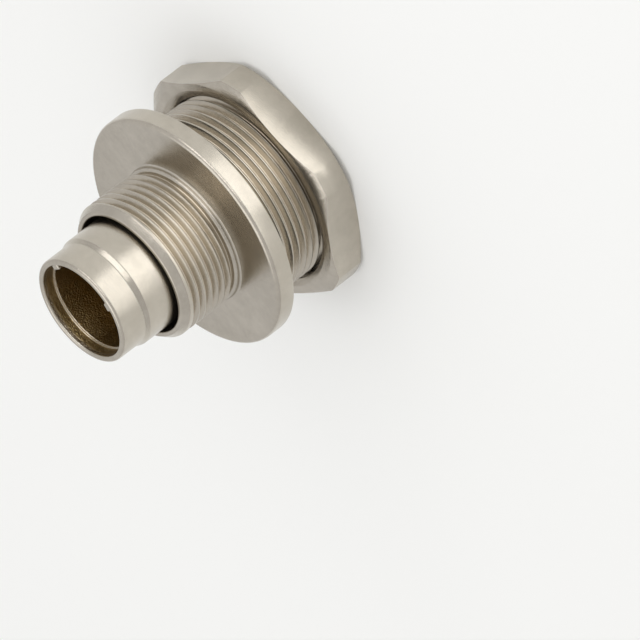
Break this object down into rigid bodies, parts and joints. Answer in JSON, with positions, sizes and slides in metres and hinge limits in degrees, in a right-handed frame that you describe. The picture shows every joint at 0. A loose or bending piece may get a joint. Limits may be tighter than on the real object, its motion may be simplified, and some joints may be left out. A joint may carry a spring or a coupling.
{
  "type": "circular connector",
  "caption": "Round panel connector with a threaded coupling sleeve, a keyed barrel with pins, a flange, a rear thread and a hexagon panel nut.",
  "frame": {"origin": "centre of the flange's rear face, the plane that lies on the panel", "axes": "+Z along the connector's axis towards its mating front; the keys lie on the -Y and +X sides"},
  "size_m": [0.0152, 0.015, 0.0151],
  "materials": {
    "satin_nickel": "satin nickel plate on turned brass",
    "bright_nickel": "bright nickel plate on turned brass",
    "black_plastic": "moulded, glass filled",
    "gold_contact": "gold plate on turned brass",
    "black_rubber": "moulded nitrile"
  },
  "bodies": {
    "connector": {"shell": "satin_nickel", "barrel": "bright_nickel", "contact_carrier": "black_plastic", "retaining_ring": "satin_nickel", "panel_seal": "black_rubber", "contact_1": "gold_contact", "contact_2": "gold_contact", "contact_3": "gold_contact", "contact_4": "gold_contact", "contact_5": "gold_contact"},
    "nut": {"panel_nut": "bright_nickel"}
  },
  "joints": [
    {"name": "nut_travel", "type": "slide", "parent": "connector", "child": "nut", "axis": [0, 0, 1], "range_m": [-0.0016, 0.0031]}
  ]
}
